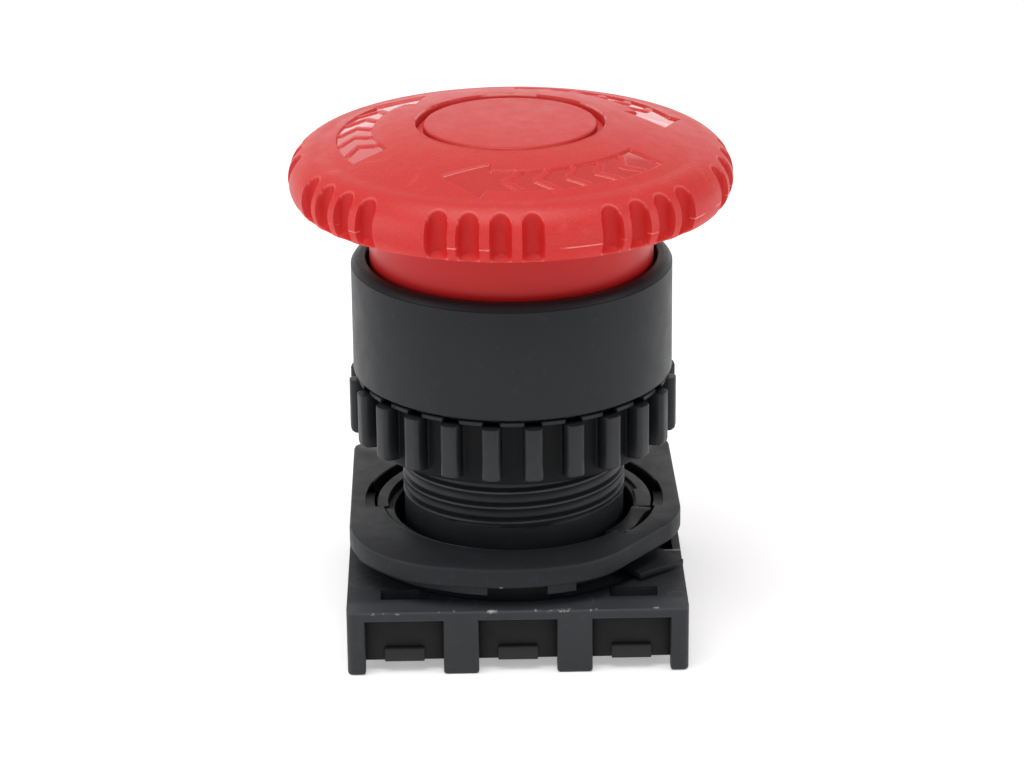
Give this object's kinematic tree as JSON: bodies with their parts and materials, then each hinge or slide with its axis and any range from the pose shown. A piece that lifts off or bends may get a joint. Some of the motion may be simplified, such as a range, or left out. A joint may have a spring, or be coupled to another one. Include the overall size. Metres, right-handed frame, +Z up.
{
  "type": "emergency stop button",
  "caption": "Panel-mount emergency stop button: fluted mushroom head with push-to-latch, turn-to-reset spindle, ribbed lock nut and a contact-block carrier with a locking lever.",
  "frame": {"origin": "on the button's axis, in the plane of the carrier's feet", "axes": "+Z up along the button's travel towards the head; -Y is the front, where the lock lever shows at the right"},
  "size_m": [0.0412, 0.0412, 0.048],
  "materials": {
    "red_head": "fine satin texture, scuffed on the flutes",
    "red_skirt": "smooth semi-gloss",
    "black_plastic": "satin glass-filled moulding",
    "black_inner": "smooth moulding",
    "white_plastic": "smooth natural acetal",
    "rubber": "matte",
    "spring_steel": "drawn wire"
  },
  "bodies": {
    "housing": {"contact_carrier": "black_plastic", "latch_bar_front": "black_inner", "latch_bar_back": "black_inner", "collar_plate": "black_plastic", "detent_leaf": "spring_steel", "threaded_barrel": "black_plastic", "bezel_sleeve": "black_plastic", "barrel_seal": "rubber", "panel_gasket": "rubber", "latch_band": "spring_steel", "return_spring": "spring_steel"},
    "slider": {"slider": "black_inner", "pusher_foot": "black_inner"},
    "head": {"mushroom_cap": "red_head", "cap_skirt": "red_skirt", "cap_insert": "red_head", "cap_screw": "spring_steel", "spindle": "white_plastic", "release_cam": "white_plastic", "reset_spring": "spring_steel"},
    "pin_left": {"latch_pin_left": "white_plastic", "latch_spring_left": "spring_steel"},
    "pin_right": {"latch_pin_right": "white_plastic", "latch_spring_right": "spring_steel"},
    "washer": {"lock_washer": "black_plastic"},
    "nut": {"lock_nut": "black_plastic"},
    "ring": {"lock_ring": "black_plastic"}
  },
  "joints": [
    {"name": "button_push", "type": "slide", "parent": "housing", "child": "slider", "axis": [0, 0, -1], "range_m": [0, 0.0055], "stiffness_N_per_m": 900, "springref_m": -0.006, "deforming": ["return_spring"]},
    {"name": "head_turn", "type": "hinge", "parent": "slider", "child": "head", "pos_m": [0, 0, 0.03], "axis": [0, 0, -1], "range_deg": [0, 40], "stiffness_Nm_per_rad": 0.02, "springref_deg": -14.32},
    {"name": "latch_left", "type": "slide", "parent": "housing", "child": "pin_left", "axis": [-1, 0, 0], "range_m": [0, 0.0014], "deforming": ["latch_spring_left"]},
    {"name": "latch_right", "type": "slide", "parent": "housing", "child": "pin_right", "axis": [1, 0, 0], "range_m": [0, 0.0014], "deforming": ["latch_spring_right"]},
    {"name": "nut_travel", "type": "slide", "parent": "housing", "child": "washer", "axis": [0, 0, -1], "range_m": [0, 0.006]},
    {"name": "nut_spin", "type": "hinge", "parent": "washer", "child": "nut", "pos_m": [0, 0, 0.0204], "axis": [0, 0, -1], "range_deg": [0, 1440.1]},
    {"name": "ring_turn", "type": "hinge", "parent": "housing", "child": "ring", "pos_m": [0, 0, 0.008], "axis": [0, 0, 1], "range_deg": [0, 21]}
  ],
  "couplings": [
    {"joint": "latch_left", "follows": "button_push", "ratio": 0.25},
    {"joint": "latch_right", "follows": "button_push", "ratio": 0.25},
    {"joint": "nut_spin", "follows": "nut_travel", "rad_per_m": 4188.8}
  ]
}
